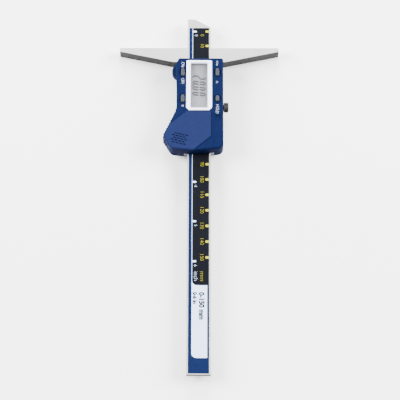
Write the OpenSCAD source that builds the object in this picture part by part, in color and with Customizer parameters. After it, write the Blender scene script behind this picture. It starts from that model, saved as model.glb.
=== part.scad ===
// Digital depth caliper: a steel base bar that rests on a surface, a depth beam
// that slides through it, and an electronic readout housing on the slider.
//
// Frame, in millimetres: the caliper lies on its back. +Z comes out of the
// display, +Y points to the tip of the beam, +X to the lock screw. The origin is
// on the measuring face, in line with the middle of the beam, at the back.

/* [Base bar] */
// Length of the base bar, tip to tip
base_len = 100; // [80:1:130]
// Thickness of the base bar, and of slider and beam together
base_thk = 8; // [7:0.1:10]
// Height of a measuring wing at its tip
wing_tip_h = 2.6; // [1.6:0.1:4]
// Height of the base bar at its middle
hub_h = 9.8; // [8.5:0.1:13]
// Width of the middle of the base bar, between the tapered wings
hub_w = 33; // [30:0.5:44]

/* [Depth beam] */
// Width of the beam
beam_w = 14.5; // [12.5:0.1:18]
// Thickness of the beam
beam_thk = 3.5; // [3:0.1:4.2]
// Length of the printed range
measuring_range = 150; // [100:1:200]
// Depth shown in the rest pose: how far the tip stands out of the base
reading = 20; // [0:1:100]
// Beam left below the housing at full range
beam_tail = 8.4; // [6:0.1:20]
// Width of the square end of the tip
tip_flat_w = 4.4; // [2:0.1:8]
// How far the bevel of the tip falls back
tip_drop = 5.6; // [2:0.1:8]
// Width of the printed scale
scale_w = 12.5; // [9:0.1:12.5]
// Distance from the tip to the start of the printed scale
scale_start = 6.1; // [6:0.1:12]
// Distance from the end of the printed scale to the end of the beam
scale_stop = 0.6; // [0.5:0.1:5]
// Thickness of the circuit strip under the printed scale
strip_thk = 0.85; // [0.5:0.05:1.2]
// Thickness of the printed scale
label_thk = 0.15; // [0.1:0.05:0.3]

/* [Slider] */
// Width of a slider rail, beside the beam
rail_w = 5.1; // [4.6:0.1:7]
// Thickness of the gib strip
gib_thk = 0.8; // [0.6:0.1:1.2]
// Length of the tongue that holds the base bar
tongue_len = 7; // [5:0.1:7.5]
// Thickness of that tongue
tongue_thk = 2.2; // [1.6:0.1:2.6]
// Thickness of the stop plate at the end of the beam
stop_thk = 1.2; // [1:0.1:2]

/* [Housing] */
// Length of the readout housing
housing_len = 61.8; // [59:0.1:80]
// Height of its front face above the rails of the slider
front_rise = 7.3; // [7.3:0.1:12]
// Height of its lower rim above the back of the caliper
rim_z = 4; // [3:0.1:6]
// Wall thickness
wall = 1.3; // [1:0.05:1.8]
// How far the grip swells out of the waist
grip_out = 8.6; // [6:0.1:12]
// Length of the grip, from the waist to the lower end
grip_len = 27.6; // [24:0.1:34]
// Radius of the thumb rest beside the base bar
thumb_r = 5; // [3:0.1:7]
// Height of the thumb rest above the back
thumb_z = 9.5; // [7:0.1:13]
// Width of the beam opening in the lower wall
beam_door_w = 18.6; // [17:0.1:24]

/* [Display] */
// Width of the white bezel
bezel_w = 15.9; // [14:0.1:19]
// Length of the white bezel
bezel_len = 33.8; // [28:0.1:34]
// How far the bezel stands proud of the housing
bezel_proud = 0.5; // [0.2:0.1:1]
// Inside of the upper wall to the bezel
bezel_edge = 0.6; // [0.6:0.1:2]
// Cut across the two lower corners of the bezel
bezel_cut = 1.9; // [0.8:0.1:2.2]
// Width of the window
window_w = 10.5; // [8:0.1:12]
// Length of the window
window_len = 30; // [20:0.1:30.5]
// Thickness of the clear window
lens_thk = 1; // [0.6:0.1:1.4]
// Thickness of the display glass
glass_thk = 1.7; // [1.2:0.1:2.2]

/* [Buttons] */
// Width of a button
button_w = 2.4; // [1.8:0.1:3]
// Length of the three long buttons
button_len = 5.3; // [4:0.1:6]
// Length of the hold button
hold_len = 4; // [3:0.1:6]
// How far a button stands proud of the housing
button_proud = 0.6; // [0.5:0.1:1]
// Travel of a button
button_travel = 0.5; // [0.3:0.05:0.6]

/* [Battery and data port] */
// Diameter of the coin cell
cell_d = 11.6; // [9.5:0.1:12]
// Thickness of the coin cell
cell_thk = 5.4; // [3:0.1:5.4]
// Direction in which the battery cover slides off, below the X axis
slide_angle = 40; // [34:1:46]
// Distance across the battery cover, between its sliding edges
cover_w = 22.3; // [20:0.1:24]
// Width of the data port cover
port_w = 5; // [4:0.1:5.2]

/* [Lock screw] */
// Diameter of the knurled knob
knob_d = 6.3; // [5:0.1:8]
// Length of the knob
knob_len = 3.2; // [2.5:0.1:6]
// Diameter of the shank
lock_d = 3; // [2:0.1:3]

/* [Hidden] */
$fn = 48;
side_gap = 0.05;       // beam edge to channel wall, and beam edge to gib
back_gap = 0.05;       // beam back to channel floor
gib_play = 0.15;       // gib back to rail, taken up by its screws
board_gap = 0.2;       // beam front to main board
fit_gap = 0.1;         // moulded piece in its recess
rail_gap = 0.3;        // slider rail to housing wall
rail_lid = 0.05;       // slider rail to the housing above it
housing_gap = 0.5;     // base bar to housing
spin_gap = 0.05;       // radius, shank in its hole
past = 1;              // how far a cut runs past a face

half_beam = beam_w / 2;
beam_back = base_thk - beam_thk;
floor_top = beam_back - back_gap;
beam_mid = base_thk - beam_thk / 2;
channel_left = half_beam + side_gap;
channel_right = channel_left + gib_thk + gib_play;
slider_left = channel_left + rail_w;
slider_right = channel_right + rail_w;
left_x = slider_left + rail_gap + wall;
right_x = slider_right + rail_gap + wall;
housing_top = hub_h + housing_gap;
housing_end = housing_top + housing_len;
slider_end = housing_end - wall - rail_gap;
beam_len = measuring_range + housing_end + beam_tail;
beam_end = beam_len - reading;
rail_top = base_thk + board_gap;
board_thk = 1;
board_top = rail_top + board_thk;
rail_room = rail_top + rail_lid;
front_z = rail_top + front_rise;
ceiling = front_z - wall;
cover_thk = wall;      // both covers, so that they lie flush in the front wall
seat_z = front_z - cover_thk;
seat_thk = 1.3;
lock_y = (hub_h + slider_end) / 2;
corner_room = 12;      // length of slider that follows the corners of the housing

// Housing screws: one in each rail, near both ends of the slider
boss_r = 1.9;
screw_r = 0.95;
screw_head_r = 1.9;
screw_head_h = 1.4;
screw_sink = 0.1;
boss_left = (channel_left + slider_left) / 2;
boss_right = (channel_right + slider_right) / 2;
boss_top_y = housing_top + 4.2;
boss_low_y = slider_end - 4;
screw_places = [for (x = [-boss_left, boss_right], y = [boss_top_y, boss_low_y]) [x, -y]];
screw_tip = seat_z - seat_thk - 0.6;

// Base screws, through the tongue into the thick part of the base bar
base_screw_r = 1.1;
base_screw_head_r = 2;
base_screw_x = channel_left + 2.1;
base_screw_y = hub_h - tongue_len / 2;
base_screw_tip = tongue_thk + 3.6;
tongue_half = base_screw_x + base_screw_head_r + 1;

// Gib screws
gib_screw_r = 1;
gib_screw_ys = [hub_h + (slider_end - hub_h) * 0.25, hub_h + (slider_end - hub_h) * 0.75];
gib_h = beam_thk - 0.3;
gib_end_gap = 1;

// Display stack
bezel_top = housing_top + wall + bezel_edge;
bezel_end = bezel_top + bezel_len;
bezel_mid = (bezel_top + bezel_end) / 2;
bezel_front = front_z + bezel_proud;
bezel_lip = bezel_edge - fit_gap;
bezel_r = 0.7;
bezel_back = ceiling - 0.8;
lens_margin = 1;
glass_gap = 0.1;
glass_top = bezel_back - glass_gap;
glass_margin = 1.5;
tray_rim = 1;
strip_w = 1.6;

// Buttons: [across, along, length], places measured from the bezel
left_column = -(bezel_w / 2 + 2.2);
right_column = bezel_w / 2 + 3.4;
upper_row = -(bezel_top + 8);
lower_row = -(bezel_end - 8);
button_slack_w = 0.6;
button_slack_len = 0.35;
button_top = front_z + button_proud;
button_foot = ceiling - 1.6;
tab_h = 0.8;
tab_out = 0.8;
switch_top = button_foot - button_travel - 0.1;
POWER = [left_column, upper_row, button_len];
ZERO = [left_column, lower_row, button_len];
UNITS = [right_column, upper_row, button_len];
HOLD = [right_column, lower_row, hold_len];
buttons = [POWER, ZERO, UNITS, HOLD];

// Battery bay: the cell stands over the left rail, in the swell of the grip
cell_r = cell_d / 2;
cell_z = rail_top + 0.3;
cell_x = -(slider_left + 0.1);
cell_y = -(housing_end - cell_r - 7.1);
well_r = cell_r + 0.25;
well_wall = 0.9;
contact_thk = 0.15;
contact_w = 3;
plus_angle = 62;

// Battery cover: a strip between two parallel sliding edges
cover_top = bezel_end + 0.35;
cover_right = bezel_w / 2 - 0.55;
cover_corner = bezel_w / 2 - 0.35;
slide = [-cos(slide_angle), -sin(slide_angle)];
across = [sin(slide_angle), -cos(slide_angle)];
reach = 60;
tongue_h = 0.6;
tongue_out = 0.5;
tongue_back = 1;       // tongues start this far behind the cover's straight edges

// Data port
port_left = bezel_w / 2 + 1.15;
port_right = port_left + port_w;
port_top = cover_top + 1.45;
port_tongue = 0.3;
slot_margin = 1;
pad_pitch = 3;
pad_count = 4;
pad_start = 4;

// Stop plate at the end of the beam
stop_gap = 0.3;
stop_front = slider_end + stop_gap + measuring_range - reading;
stop_half = half_beam - 1.25;
stop_screw_x = stop_half - 2.2;
stop_screw_y = (stop_front + beam_end) / 2;

// ---- outlines -------------------------------------------------------------

function unit(v) = v / norm(v);

// Angle from a to b, the short way round
function turn(a, b) = let (d = b - a) d > 180 ? d - 360 : d < -180 ? d + 360 : d;

// The arc of radius r that rounds corner p between its neighbours a and b
function corner_arc(a, p, b, r, steps = 8) =
    let (
        u = unit(a - p),
        w = unit(b - p),
        half = acos(u * w) / 2,
        c = p + unit(u + w) * r / sin(half),
        s = p + u * r / tan(half) - c,
        e = p + w * r / tan(half) - c,
        start = atan2(s[1], s[0]),
        sweep = turn(start, atan2(e[1], e[0]))
    )
    [for (i = [0:steps]) c + r * [cos(start + sweep * i / steps), sin(start + sweep * i / steps)]];

// Corners given as [x, y, radius], rounded
function rounded(corners) =
    let (n = len(corners), xy = [for (c = corners) [c[0], c[1]]])
    [for (i = [0:n - 1]) each corner_arc(xy[(i + n - 1) % n], xy[i], xy[(i + 1) % n], corners[i][2])];

// A counterclockwise outline moved inwards by d
function inset(points, d) =
    let (n = len(points))
    [for (i = [0:n - 1])
        let (
            a = unit(points[i] - points[(i + n - 1) % n]),
            b = unit(points[(i + 1) % n] - points[i]),
            na = [-a[1], a[0]],
            nb = [-b[1], b[0]]
        )
        points[i] + d * (na + nb) / (1 + na * nb)];

// Corners of the housing, counterclockwise from the lock screw side: [x, y, radius]
shell_corners = [
    [right_x, -housing_top, 1.2],
    [-(left_x - 1.4), -housing_top, 0.8],
    [-(left_x + 0.7), -(housing_top + 4.3), 1.5],
    [-left_x, -(housing_top + 20.7), 12],
    [-left_x, -(housing_end - grip_len), 18],
    [-(left_x + grip_out), -(housing_end - 9.5), 2.6],
    [-(left_x + 2.9), -(housing_end - 0.9), 4],
    [-2, -(housing_end + 0.4), 40],
    [right_x, -(housing_end - 1.6), 3.5]
];

// Outline of the housing, moved inwards by d: convex corners tighten, hollow ones open
function shell_line(d = 0) =
    let (
        n = len(shell_corners),
        xy = [for (c = shell_corners) [c[0], c[1]]],
        moved = inset(xy, d)
    )
    rounded([for (i = [0:n - 1])
        let (
            a = xy[i] - xy[(i + n - 1) % n],
            b = xy[(i + 1) % n] - xy[i],
            hollow = a[0] * b[1] - a[1] * b[0] < 0,
            r = shell_corners[i][2]
        )
        [moved[i][0], moved[i][1], hollow ? r + d : max(r - d, 0.3)]]);

// Where the upper sliding edge and the lower sliding edge of the cover start
upper_edge = [-cover_corner, -cover_top];
lower_edge = upper_edge + across * cover_w;

// The strip between the cover's sliding edges, grown by g
module cover_strip(g) {
    polygon([
        upper_edge - across * g - slide * reach,
        upper_edge - across * g + slide * reach,
        lower_edge + across * g + slide * reach,
        lower_edge + across * g - slide * reach
    ]);
}

// The plan of the battery cover: sliding edges grown by g, top edge by t, right edge by s
module cover_plan(g, t, s) {
    intersection() {
        cover_strip(g);
        translate([-reach, -cover_top + t - reach]) square([reach + cover_right + s, reach]);
    }
}

module shell_slab(low, high, d = 0) {
    translate([0, 0, low]) linear_extrude(high - low) polygon(shell_line(d));
}

module plate(size, low, high, at = [0, 0]) {
    translate([at[0] - size[0] / 2, at[1] - size[1] / 2, low]) cube([size[0], size[1], high - low]);
}

// A plate with round ends, long side along Y
module long_hole(w, length, low, high, at) {
    translate([at[0], at[1], low]) linear_extrude(high - low) {
        square([w, length - w], center = true);
        for (end = [-1, 1]) translate([0, end * (length - w) / 2]) circle(w / 2);
    }
}

module post(r, low, high, at) {
    translate([at[0], at[1], low]) cylinder(r = r, h = high - low);
}

// A round bar along X
module cross_bar(r, from, to, y, z) {
    translate([from, y, z]) rotate([0, 90, 0]) cylinder(r = r, h = to - from);
}

// ---- base and slider --------------------------------------------------------

module base_crossbar() {
    color("gainsboro") difference() {
        linear_extrude(base_thk) polygon([
            [-base_len / 2, 0],
            [-base_len / 2, -wing_tip_h],
            [-hub_w / 2, -hub_h],
            [hub_w / 2, -hub_h],
            [base_len / 2, -wing_tip_h],
            [base_len / 2, 0]
        ]);
        translate([-channel_left, -hub_h - past, floor_top])
            cube([2 * channel_left, hub_h + 2 * past, beam_thk + past]);
        translate([-tongue_half, -hub_h - past, -past])
            cube([2 * tongue_half, tongue_len + past, tongue_thk + past]);
        for (side = [-1, 1])
            post(base_screw_r, tongue_thk - past, base_screw_tip + 0.4,
                [side * base_screw_x, -base_screw_y]);
    }
}

module slider_frame() {
    color("silver") difference() {
        union() {
            translate([-slider_left, -slider_end + corner_room, 0])
                cube([slider_left + slider_right, slider_end - corner_room - hub_h, rail_top]);
            intersection() {
                translate([-slider_left, -slider_end, 0])
                    cube([slider_left + slider_right, corner_room, rail_top]);
                shell_slab(0, rail_top, wall + rail_gap);
            }
            translate([-tongue_half, -hub_h, 0]) cube([2 * tongue_half, tongue_len, tongue_thk]);
        }
        translate([-channel_left, -slider_end - past, floor_top])
            cube([channel_left + channel_right, slider_end - hub_h + 2 * past, rail_top]);
        for (at = screw_places) {
            post(screw_r + 0.15, -past, rail_top + past, at);
            post(screw_head_r + 0.1, -past, screw_head_h + screw_sink, at);
        }
        for (side = [-1, 1]) {
            post(base_screw_r, -past, tongue_thk + past, [side * base_screw_x, -base_screw_y]);
            post(base_screw_head_r, -past, 1.2, [side * base_screw_x, -base_screw_y]);
        }
        cross_bar(lock_d / 2 + spin_gap, channel_right - past, slider_right + past, -lock_y, beam_mid);
        for (y = gib_screw_ys)
            cross_bar(gib_screw_r, channel_right - past, slider_right + past, -y, beam_mid);
    }
}

module base_screws() {
    color("dimgray") for (side = [-1, 1]) difference() {
        union() {
            post(base_screw_head_r, 0.1, 1.2, [side * base_screw_x, -base_screw_y]);
            post(base_screw_r, 1.2, base_screw_tip, [side * base_screw_x, -base_screw_y]);
        }
        plate([0.5, 2 * base_screw_head_r], -past, 0.6, [side * base_screw_x, -base_screw_y]);
        plate([2 * base_screw_head_r, 0.5], -past, 0.6, [side * base_screw_x, -base_screw_y]);
    }
}

module gib_strip() {
    color("darkgoldenrod")
        translate([channel_left, -(slider_end - gib_end_gap), beam_mid - gib_h / 2])
            cube([gib_thk, slider_end - hub_h - 2 * gib_end_gap, gib_h]);
}

module gib_screws() {
    color("dimgray") for (y = gib_screw_ys) difference() {
        cross_bar(gib_screw_r, channel_left + gib_thk, slider_right - 0.3, -y, beam_mid);
        translate([slider_right - 1, -y - gib_screw_r, beam_mid - 0.2])
            cube([1, 2 * gib_screw_r, 0.4]);
    }
}

module lock_screw() {
    knob_from = right_x + 0.2;
    ribs = 24;
    color("gray") difference() {
        union() {
            cross_bar(lock_d / 2, channel_left + gib_thk + 0.1, knob_from + 0.5, -lock_y, beam_mid);
            cross_bar(knob_d / 2, knob_from, knob_from + knob_len, -lock_y, beam_mid);
        }
        for (i = [0:ribs - 1])
            translate([0, -lock_y, beam_mid]) rotate([i * 360 / ribs, 0, 0])
                translate([knob_from + 0.5, knob_d / 2, 0]) rotate([45, 0, 0])
                    translate([0, -0.15, -0.15]) cube([knob_len - 1, 0.3, 0.3]);
    }
}

// ---- beam -------------------------------------------------------------------

module beam() {
    pocket = strip_thk + label_thk;
    color("lightgray") difference() {
        translate([0, 0, beam_back]) linear_extrude(beam_thk) polygon([
            [-half_beam, reading],
            [-half_beam, -beam_end],
            [half_beam, -beam_end],
            [half_beam, reading - tip_drop],
            [-half_beam + tip_flat_w, reading]
        ]);
        translate([-scale_w / 2, -beam_end + scale_stop, base_thk - pocket])
            cube([scale_w, beam_len - scale_start - scale_stop, pocket + past]);
        for (side = [-1, 1])
            post(0.8, beam_back - past, beam_back + 1.8, [side * stop_screw_x, -stop_screw_y]);
    }
}

module scale_strip() {
    low = base_thk - label_thk - strip_thk;
    color("darkgreen") translate([-scale_w / 2, -beam_end + scale_stop, low])
        cube([scale_w, beam_len - scale_start - scale_stop, strip_thk]);
}

module scale_label() {
    color("midnightblue") translate([-scale_w / 2, -beam_end + scale_stop, base_thk - label_thk])
        cube([scale_w, beam_len - scale_start - scale_stop, label_thk]);
}

module stop_plate() {
    color("silver") difference() {
        translate([-stop_half, -beam_end + 0.5, beam_back - stop_thk])
            cube([2 * stop_half, beam_end - 0.5 - stop_front, stop_thk]);
        for (side = [-1, 1]) {
            post(0.8, beam_back - stop_thk - past, beam_back + past, [side * stop_screw_x, -stop_screw_y]);
            post(1.5, beam_back - stop_thk - past, beam_back - 0.5, [side * stop_screw_x, -stop_screw_y]);
        }
    }
}

module stop_screws() {
    head_low = beam_back - stop_thk + 0.1;
    color("dimgray") for (side = [-1, 1]) difference() {
        union() {
            post(1.5, head_low, beam_back - 0.5, [side * stop_screw_x, -stop_screw_y]);
            post(0.8, head_low, beam_back + 1.6, [side * stop_screw_x, -stop_screw_y]);
        }
        plate([0.4, 3], head_low - past, head_low + 0.3, [side * stop_screw_x, -stop_screw_y]);
    }
}

// ---- housing ----------------------------------------------------------------

module housing_solid() {
    difference() {
        union() {
            shell_slab(rim_z, front_z);
            post(thumb_r, rim_z, thumb_z, [-(left_x - 2), -(housing_top + thumb_r + 1)]);
        }
        shell_slab(rim_z - past, ceiling, wall);
    }
    // Seats under the two covers, and the ring round the cell
    intersection() {
        shell_slab(seat_z - seat_thk, seat_z, wall / 2);
        translate([0, 0, seat_z - seat_thk]) linear_extrude(seat_thk) {
            cover_plan(1.2, cover_top - bezel_end - bezel_lip - fit_gap, 1);
            translate([port_left - 1, -reach - port_top]) square([port_w + 2, reach]);
        }
    }
    post(well_r + well_wall, cell_z, seat_z - 0.5, [cell_x, cell_y]);
    for (at = screw_places) post(boss_r, rail_top, seat_z - 0.5, at);
    for (x = [-boss_left, boss_right]) post(boss_r, rail_top, ceiling + 0.5, [x, -boss_top_y]);
}

module housing() {
    color("royalblue") difference() {
        housing_solid();
        // Battery cover: its recess and the grooves for its tongues
        translate([0, 0, seat_z]) linear_extrude(2 * cover_thk) cover_plan(fit_gap, fit_gap, fit_gap);
        translate([0, 0, seat_z]) linear_extrude(tongue_h + fit_gap)
            cover_plan(tongue_out + fit_gap, -tongue_back + fit_gap, -tongue_back + fit_gap);
        post(well_r, cell_z - past, seat_z + past, [cell_x, cell_y]);
        for (angle = [0, plus_angle])
            translate([cell_x, cell_y, cell_z - past]) rotate(angle)
                translate([0, -contact_w / 2 - 0.2, 0])
                    cube([well_r + well_wall + past, contact_w + 0.4, seat_z - seat_thk - cell_z + past]);
        // Data port: recess, grooves and the slot over the contact pads
        translate([port_left - fit_gap, -reach - port_top, seat_z])
            cube([port_w + 2 * fit_gap, reach + fit_gap, 2 * cover_thk]);
        translate([port_left - port_tongue - fit_gap, -reach - port_top - 1, seat_z])
            cube([port_w + 2 * (port_tongue + fit_gap), reach + fit_gap, tongue_h + fit_gap]);
        plate([port_w - 2 * slot_margin, pad_count * pad_pitch], seat_z - seat_thk - past, seat_z + past,
            [(port_left + port_right) / 2, -(port_top + pad_start + pad_count * pad_pitch / 2)]);
        // Bezel and buttons
        bezel_plate(ceiling - past, front_z + past, fit_gap);
        for (b = buttons)
            long_hole(button_w + 2 * button_slack_w, b[2] + 2 * button_slack_len,
                ceiling - past, front_z + past, b);
        // Beam opening in the lower wall, and room for the rails in the upper one
        translate([-beam_door_w / 2, -housing_end - 2 * past, rim_z - past])
            cube([beam_door_w, wall + rail_gap + 3 * past, base_thk + 0.5 - rim_z + past]);
        translate([-slider_left - rail_gap, -housing_top - 3 * wall, rim_z - past])
            cube([slider_left + slider_right + 2 * rail_gap, 3 * wall + past, rail_room - rim_z + past]);
        // Screw pilots, and the way in for the lock screw and the gib screws
        for (at = screw_places) post(screw_r + 0.05, rail_top - past, screw_tip + 0.4, at);
        cross_bar(lock_d / 2 + 0.4, slider_right, right_x + past, -lock_y, beam_mid);
        for (y = gib_screw_ys) cross_bar(gib_screw_r + 0.3, slider_right, right_x + past, -y, beam_mid);
    }
}

// Closes the back of the grip, beside the slider
module grip_back() {
    grip_start = housing_end - grip_len + 3;
    color("navy") intersection() {
        shell_slab(rim_z, rim_z + wall, wall + fit_gap);
        translate([-slider_left - rail_gap / 3 - reach, -grip_start - reach, rim_z - past])
            cube([reach, reach, wall + 2 * past]);
    }
}

module housing_screws() {
    color("dimgray") for (at = screw_places) difference() {
        union() {
            post(screw_head_r, screw_sink, screw_head_h + screw_sink, at);
            post(screw_r, screw_head_h, screw_tip, at);
        }
        plate([0.5, 2.6], screw_sink - past, screw_sink + 0.7, at);
        plate([2.6, 0.5], screw_sink - past, screw_sink + 0.7, at);
    }
}

// ---- display ----------------------------------------------------------------

// The outline of the bezel, grown by g: round upper corners, cut lower ones
module bezel_plate(low, high, g = 0) {
    w = bezel_w / 2 + g;
    top = -bezel_top + g;
    end = -bezel_end - g;
    cut = bezel_cut + g * (2 - sqrt(2));
    translate([0, 0, low]) linear_extrude(high - low) polygon(rounded([
        [w, top, bezel_r],
        [-w, top, bezel_r],
        [-w, end + cut, bezel_r],
        [-w + cut, end, bezel_r],
        [w - cut, end, bezel_r],
        [w, end + cut, bezel_r]
    ]));
}

module lcd_bezel() {
    color("white") difference() {
        union() {
            bezel_plate(bezel_back, bezel_front);
            plate([bezel_w - 2, bezel_len + 2 * bezel_lip], bezel_back, ceiling - 0.05, [0, -bezel_mid]);
        }
        plate([window_w, window_len], bezel_back - past, bezel_front + past, [0, -bezel_mid]);
        plate([window_w + 2 * lens_margin + fit_gap, window_len + 2 * lens_margin + fit_gap],
            bezel_back - past, bezel_back + lens_thk, [0, -bezel_mid]);
    }
}

module lcd_lens() {
    color("lightcyan") plate([window_w + 2 * lens_margin, window_len + 2 * lens_margin],
        bezel_back, bezel_back + lens_thk, [0, -bezel_mid]);
}

module lcd_glass() {
    color("darkgray") plate([window_w + 2 * glass_margin, window_len + 2 * glass_margin],
        glass_top - glass_thk, glass_top, [0, -bezel_mid]);
}

module lcd_tray() {
    outer_w = window_w + 2 * (glass_margin + tray_rim);
    outer_len = window_len + 2 * (glass_margin + tray_rim);
    color("whitesmoke") difference() {
        plate([outer_w, outer_len], board_top, glass_top, [0, -bezel_mid]);
        plate([outer_w - 2 * tray_rim, outer_len - 2 * tray_rim],
            glass_top - glass_thk, glass_top + past, [0, -bezel_mid]);
        plate([outer_w - 3 * tray_rim, outer_len - 5 * tray_rim],
            board_top - past, glass_top, [0, -bezel_mid]);
    }
}

module contact_strips() {
    x = window_w / 2 + glass_margin - tray_rim / 2 - strip_w / 2 - 0.1;
    color("pink") for (side = [-1, 1])
        plate([strip_w, window_len - 2], board_top, glass_top - glass_thk, [side * x, -bezel_mid]);
}

// ---- electronics ------------------------------------------------------------

module main_board() {
    color("green") difference() {
        intersection() {
            shell_slab(rail_top, board_top, wall + 0.4);
            translate([-slider_left, -housing_end, rail_top - past])
                cube([slider_left + right_x, housing_len, board_thk + 2 * past]);
        }
        for (at = screw_places) post(boss_r + 0.3, rail_top - past, board_top + past, at);
        post(well_r + well_wall + 0.4, rail_top - past, board_top + past, [cell_x, cell_y]);
    }
}

module chip_cap() {
    color("black") post(3, board_top, board_top + 1.1, [0, -bezel_mid]);
}

module quartz_can() {
    color("silver") translate([0, -(cover_top + 3), board_top + 1]) rotate([0, 90, 0])
        cylinder(r = 1, h = 6, center = true);
}

module key_switches() {
    color("dimgray") for (b = buttons) plate([button_w + 0.4, 3.4], board_top, switch_top, b);
}

module button(b) {
    color("slategray") {
        long_hole(button_w, b[2], button_foot, button_top, b);
        plate([button_w - 0.6, b[2] + 2 * tab_out], ceiling - 0.1 - tab_h, ceiling - 0.1, b);
    }
}

module button_power() {
    button(POWER);
}

module button_zero() {
    button(ZERO);
}

module button_units() {
    button(UNITS);
}

module button_hold() {
    button(HOLD);
}

// ---- battery and data port ----------------------------------------------------

module battery_cover() {
    rows = 5;
    dash = [1.7, 0.7];
    dash_deep = 0.6;
    pitch = [2.3, 1.5];
    grip_at = [cell_x + 2.1, cell_y - 5.9];
    color("cornflowerblue") difference() {
        intersection() {
            shell_slab(seat_z, front_z);
            translate([0, 0, seat_z]) union() {
                linear_extrude(cover_thk) cover_plan(0, 0, 0);
                linear_extrude(tongue_h) cover_plan(tongue_out, -tongue_back, -tongue_back);
            }
        }
        // Grip: short dashes in staggered rows across the slide
        for (row = [0:rows - 1], col = [-2:1])
            translate([grip_at[0], grip_at[1], front_z - dash_deep]) rotate(-14)
                translate([(col - (row % 2) / 2) * pitch[0], (row - (rows - 1) / 2) * pitch[1], 0])
                    translate([-dash[0] / 2, -dash[1] / 2, 0]) cube([dash[0], dash[1], 2 * dash_deep]);
    }
}

module coin_cell() {
    color("silver") {
        post(cell_r - 0.6, cell_z - 0.1, cell_z + 0.2, [cell_x, cell_y]);
        post(cell_r, cell_z + 0.2, cell_z + cell_thk, [cell_x, cell_y]);
    }
}

// The leaf under the cell: flat, then up over the edge of the board
module contact_minus() {
    edge = well_r + well_wall + 0.1;
    color("gold") translate([cell_x, cell_y - contact_w / 2, rail_top + 0.02]) {
        translate([-3, 0, 0]) cube([3 + edge, contact_w, contact_thk]);
        translate([edge - contact_thk, 0, 0]) cube([contact_thk, contact_w, board_thk + contact_thk]);
        translate([edge - contact_thk, 0, board_thk]) cube([2.2, contact_w, contact_thk]);
    }
}

// The leaf beside the cell, with its foot on the board
module contact_plus() {
    near = cell_r + 0.05;
    color("gold") translate([cell_x, cell_y, board_top]) rotate(plus_angle)
        translate([near, -contact_w / 2, 0]) {
            cube([contact_thk, contact_w, cell_thk / 2]);
            cube([well_wall + 2.8, contact_w, contact_thk]);
        }
}

module data_pads() {
    color("gold") for (i = [0:pad_count - 1])
        plate([port_w - 2.6, pad_pitch - 0.8], board_top, board_top + 0.1,
            [(port_left + port_right) / 2, -(port_top + pad_start + (i + 0.5) * pad_pitch)]);
}

module port_cover() {
    nail = [3.2, 3.2];
    color("cornflowerblue") difference() {
        intersection() {
            shell_slab(seat_z, front_z);
            union() {
                translate([port_left, -reach - port_top, seat_z]) cube([port_w, reach, cover_thk]);
                translate([port_left - port_tongue, -reach - port_top - 1, seat_z])
                    cube([port_w + 2 * port_tongue, reach, tongue_h]);
            }
        }
        plate(nail, front_z - 0.5, front_z + past, [(port_left + port_right) / 2, -(port_top + 2.8)]);
    }
}

base_crossbar();
slider_frame();
base_screws();
gib_strip();
gib_screws();
lock_screw();
beam();
scale_strip();
scale_label();
stop_plate();
stop_screws();
housing();
grip_back();
housing_screws();
lcd_bezel();
lcd_lens();
lcd_glass();
lcd_tray();
contact_strips();
main_board();
chip_cap();
quartz_can();
key_switches();
button_power();
button_zero();
button_units();
button_hold();
battery_cover();
coin_cell();
contact_minus();
contact_plus();
data_pads();
port_cover();
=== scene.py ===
"""Looks of the digital depth gauge: ground steel, moulded housing, display, printed scale and studio."""
import math

import bmesh
import bpy
import numpy as np
from bpy.props import FloatProperty, FloatVectorProperty, IntProperty, PointerProperty, StringProperty
from bpy.types import Operator, Panel, PropertyGroup
from mathutils import Matrix, Vector


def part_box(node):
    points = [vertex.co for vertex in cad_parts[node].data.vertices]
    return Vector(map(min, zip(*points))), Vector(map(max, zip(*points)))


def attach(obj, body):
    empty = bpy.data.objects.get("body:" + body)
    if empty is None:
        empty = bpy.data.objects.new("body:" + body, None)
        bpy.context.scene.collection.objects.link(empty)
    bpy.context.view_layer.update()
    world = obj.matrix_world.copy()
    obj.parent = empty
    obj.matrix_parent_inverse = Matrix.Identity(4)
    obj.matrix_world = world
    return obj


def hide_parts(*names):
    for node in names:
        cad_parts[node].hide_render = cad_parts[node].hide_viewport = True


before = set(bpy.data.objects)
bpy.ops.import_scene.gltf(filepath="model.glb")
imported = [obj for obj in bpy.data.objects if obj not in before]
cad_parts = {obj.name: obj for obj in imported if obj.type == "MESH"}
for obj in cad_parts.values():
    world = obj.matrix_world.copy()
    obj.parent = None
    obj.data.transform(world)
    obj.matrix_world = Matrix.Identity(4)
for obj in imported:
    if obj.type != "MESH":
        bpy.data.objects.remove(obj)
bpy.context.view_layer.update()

bl_info = {
    "name": "Depth gauge looks",
    "version": (1, 0, 0),
    "blender": (4, 5, 0),
    "location": "View3D > Sidebar > Depth gauge",
    "description": "Builds the visible pieces of a digital depth gauge around its packed model",
    "category": "Object",
}

MM = 0.001
SLIDER = "slider"
BEAM = "beam"
SMOOTH_ANGLE = math.radians(32)
SKIN_GAP = 0.03 * MM        # how far a finished skin lies inside the CAD face it stands for
SLIVER = 0.01 * MM          # keeps two faces from lying in one plane
BEZEL_TAB = 0.5 * MM        # how far the bezel's lip runs past its face at each end
BUTTON_TAB = 0.8 * MM       # how far a button's flange runs past its cap at each end
BUTTONS = ("button_power", "button_zero", "button_units", "button_hold")
LID_TURN = math.radians(40)  # direction in which the battery cover slides off
LID_WIDTH = 22.3 * MM       # between the battery cover's two sliding edges
LID_GAP = 0.35 * MM         # between the battery cover and the bezel
LAMP_WIDTH = 1.0            # metres
PLAIN_WEIGHT = -0.028       # grows or thins the strokes of a letter, in letter heights
BOLD_WEIGHT = 0.055


# ---- property helpers ---------------------------------------------------------

def length(name, text, millimetres):
    """A length property, given in millimetres and kept in metres."""
    return FloatProperty(name=name, description=text, default=millimetres * MM, unit="LENGTH", precision=5)


def angle(name, text, degrees):
    return FloatProperty(name=name, description=text, default=math.radians(degrees), unit="ROTATION")


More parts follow.
